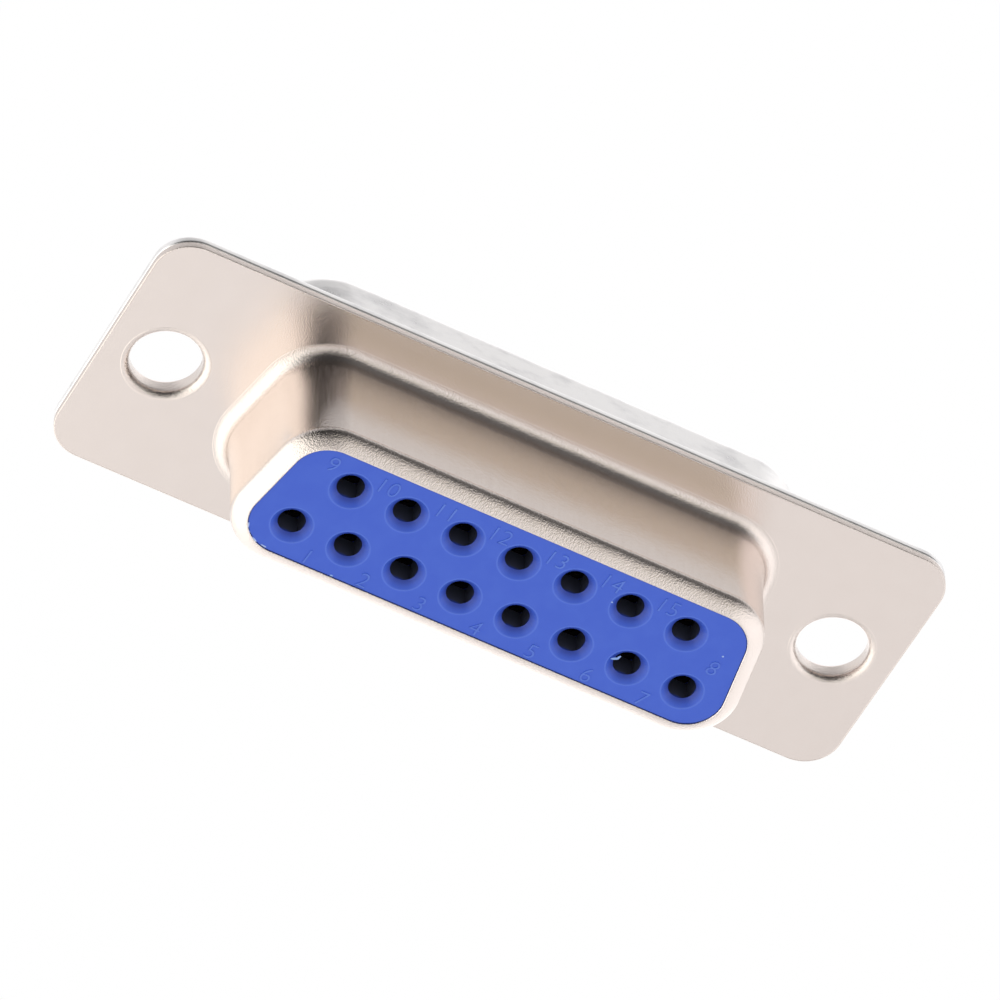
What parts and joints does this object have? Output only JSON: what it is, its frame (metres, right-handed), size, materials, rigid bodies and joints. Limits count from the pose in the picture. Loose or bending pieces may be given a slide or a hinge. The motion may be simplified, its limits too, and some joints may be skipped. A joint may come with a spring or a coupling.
{
  "type": "d-sub connector",
  "caption": "D-shaped socket connector with a plated flange, drawn nose, two rows of contacts and solder cups.",
  "frame": {"origin": "centre of the flange's front face, midway between the two mounting holes", "axes": "+X along the connector, -Y out of the mating side, +Z towards the narrow row of seven"},
  "size_m": [0.0392, 0.0145, 0.0126],
  "materials": {
    "front_plating": "bright nickel plate on steel",
    "rear_plating": "dull tin plate on steel",
    "insulator_blue": "moulded blue plastic, half gloss",
    "contact_gold": "gold flash on copper alloy"
  },
  "bodies": {
    "root": {"front_shell": "front_plating", "rear_shell": "rear_plating", "front_insulator": "insulator_blue", "rear_insulator": "insulator_blue", "contact_01": "contact_gold", "contact_02": "contact_gold", "contact_03": "contact_gold", "contact_04": "contact_gold", "contact_05": "contact_gold", "contact_06": "contact_gold", "contact_07": "contact_gold", "contact_08": "contact_gold", "contact_09": "contact_gold", "contact_10": "contact_gold", "contact_11": "contact_gold", "contact_12": "contact_gold", "contact_13": "contact_gold", "contact_14": "contact_gold", "contact_15": "contact_gold"}
  },
  "joints": []
}
